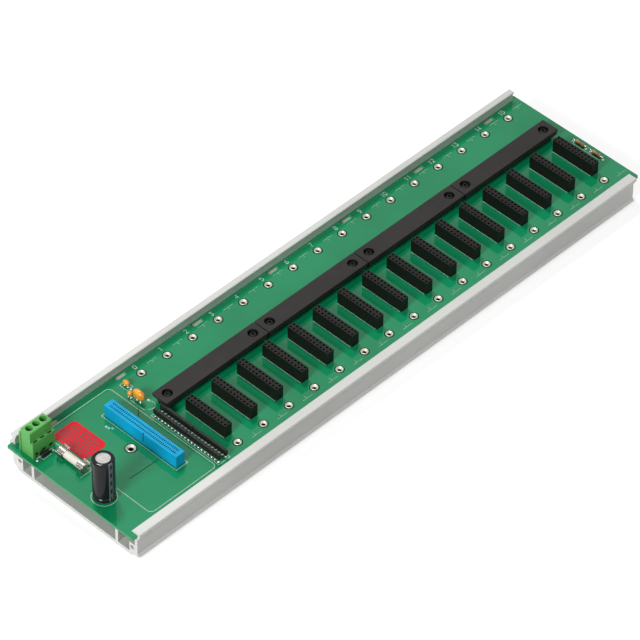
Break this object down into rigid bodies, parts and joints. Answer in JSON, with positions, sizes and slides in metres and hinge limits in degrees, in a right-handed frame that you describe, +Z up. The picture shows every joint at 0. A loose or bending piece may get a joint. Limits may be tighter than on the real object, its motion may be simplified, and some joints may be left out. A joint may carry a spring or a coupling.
{
  "type": "module mounting rack",
  "caption": "Open-ended metal channel holding a circuit board with a row of plug-in module places, hold-down bars, a controller connector and a power terminal.",
  "frame": {"origin": "middle of the tray's flat underside, at the middle of the overall box in X and Y", "axes": "+X along the tray from the power end to the last module place, +Y towards the tall back rail, +Z up from the underside to the board"},
  "size_m": [0.399, 0.1004, 0.0479],
  "materials": {
    "anodised_aluminium": "clear anodised, fine lengthwise die lines",
    "green_board": "glossy green coat over woven glass laminate",
    "black_moulding": "fine moulded, slight sheen",
    "dark_bar": "moulded, satin",
    "black_steel": "black oxide",
    "plated_steel": "bright plated",
    "tinned_brass": "bright tin plate",
    "blue_moulding": "moulded, semi gloss",
    "black_epoxy": "dipped, slight sheen",
    "solder": "bright solder",
    "green_moulding": "moulded, satin",
    "fuse_ceramic": "unglazed ceramic",
    "can_aluminium": "drawn, satin",
    "black_sleeve": "shrunk sleeve, semi gloss",
    "seal_rubber": "matt",
    "orange_resin": "dipped resin, glossy",
    "tan_lacquer": "lacquered",
    "red_label": "printed film"
  },
  "bodies": {
    "root": {"tray_extrusion": "anodised_aluminium", "circuit_board": "green_board", "module_socket_00": "black_moulding", "module_socket_01": "black_moulding", "module_socket_02": "black_moulding", "module_socket_03": "black_moulding", "module_socket_04": "black_moulding", "module_socket_05": "black_moulding", "module_socket_06": "black_moulding", "module_socket_07": "black_moulding", "module_socket_08": "black_moulding", "module_socket_09": "black_moulding", "module_socket_10": "black_moulding", "module_socket_11": "black_moulding", "module_socket_12": "black_moulding", "module_socket_13": "black_moulding", "module_socket_14": "black_moulding", "module_socket_15": "black_moulding", "socket_solder_tails": "solder", "retention_bar_1": "dark_bar", "retention_bar_2": "dark_bar", "retention_bar_3": "dark_bar", "retention_bar_4": "dark_bar", "bar_screws": "black_steel", "bar_nuts": "plated_steel", "back_standoffs": "tinned_brass", "front_standoffs": "tinned_brass", "controller_standoff": "tinned_brass", "controller_connector": "blue_moulding", "connector_solder_tails": "solder", "resistor_network_1": "black_epoxy", "resistor_network_2": "black_epoxy", "resistor_network_3": "black_epoxy", "resistor_network_4": "black_epoxy", "network_pins": "solder", "terminal_block": "green_moulding", "terminal_screws": "plated_steel", "terminal_clamps": "plated_steel", "fuse_tube": "fuse_ceramic", "fuse_end_caps": "plated_steel", "fuse_clips": "plated_steel", "capacitor_can": "can_aluminium", "capacitor_sleeve": "black_sleeve", "capacitor_seal": "seal_rubber", "dipped_capacitor_large": "orange_resin", "dipped_capacitor_medium": "orange_resin", "dipped_capacitor_small": "orange_resin", "dipped_capacitor_leads": "solder", "diode_body": "black_epoxy", "diode_leads": "solder", "end_resistors": "tan_lacquer", "end_resistor_leads": "solder", "warning_label": "red_label"}
  },
  "joints": []
}
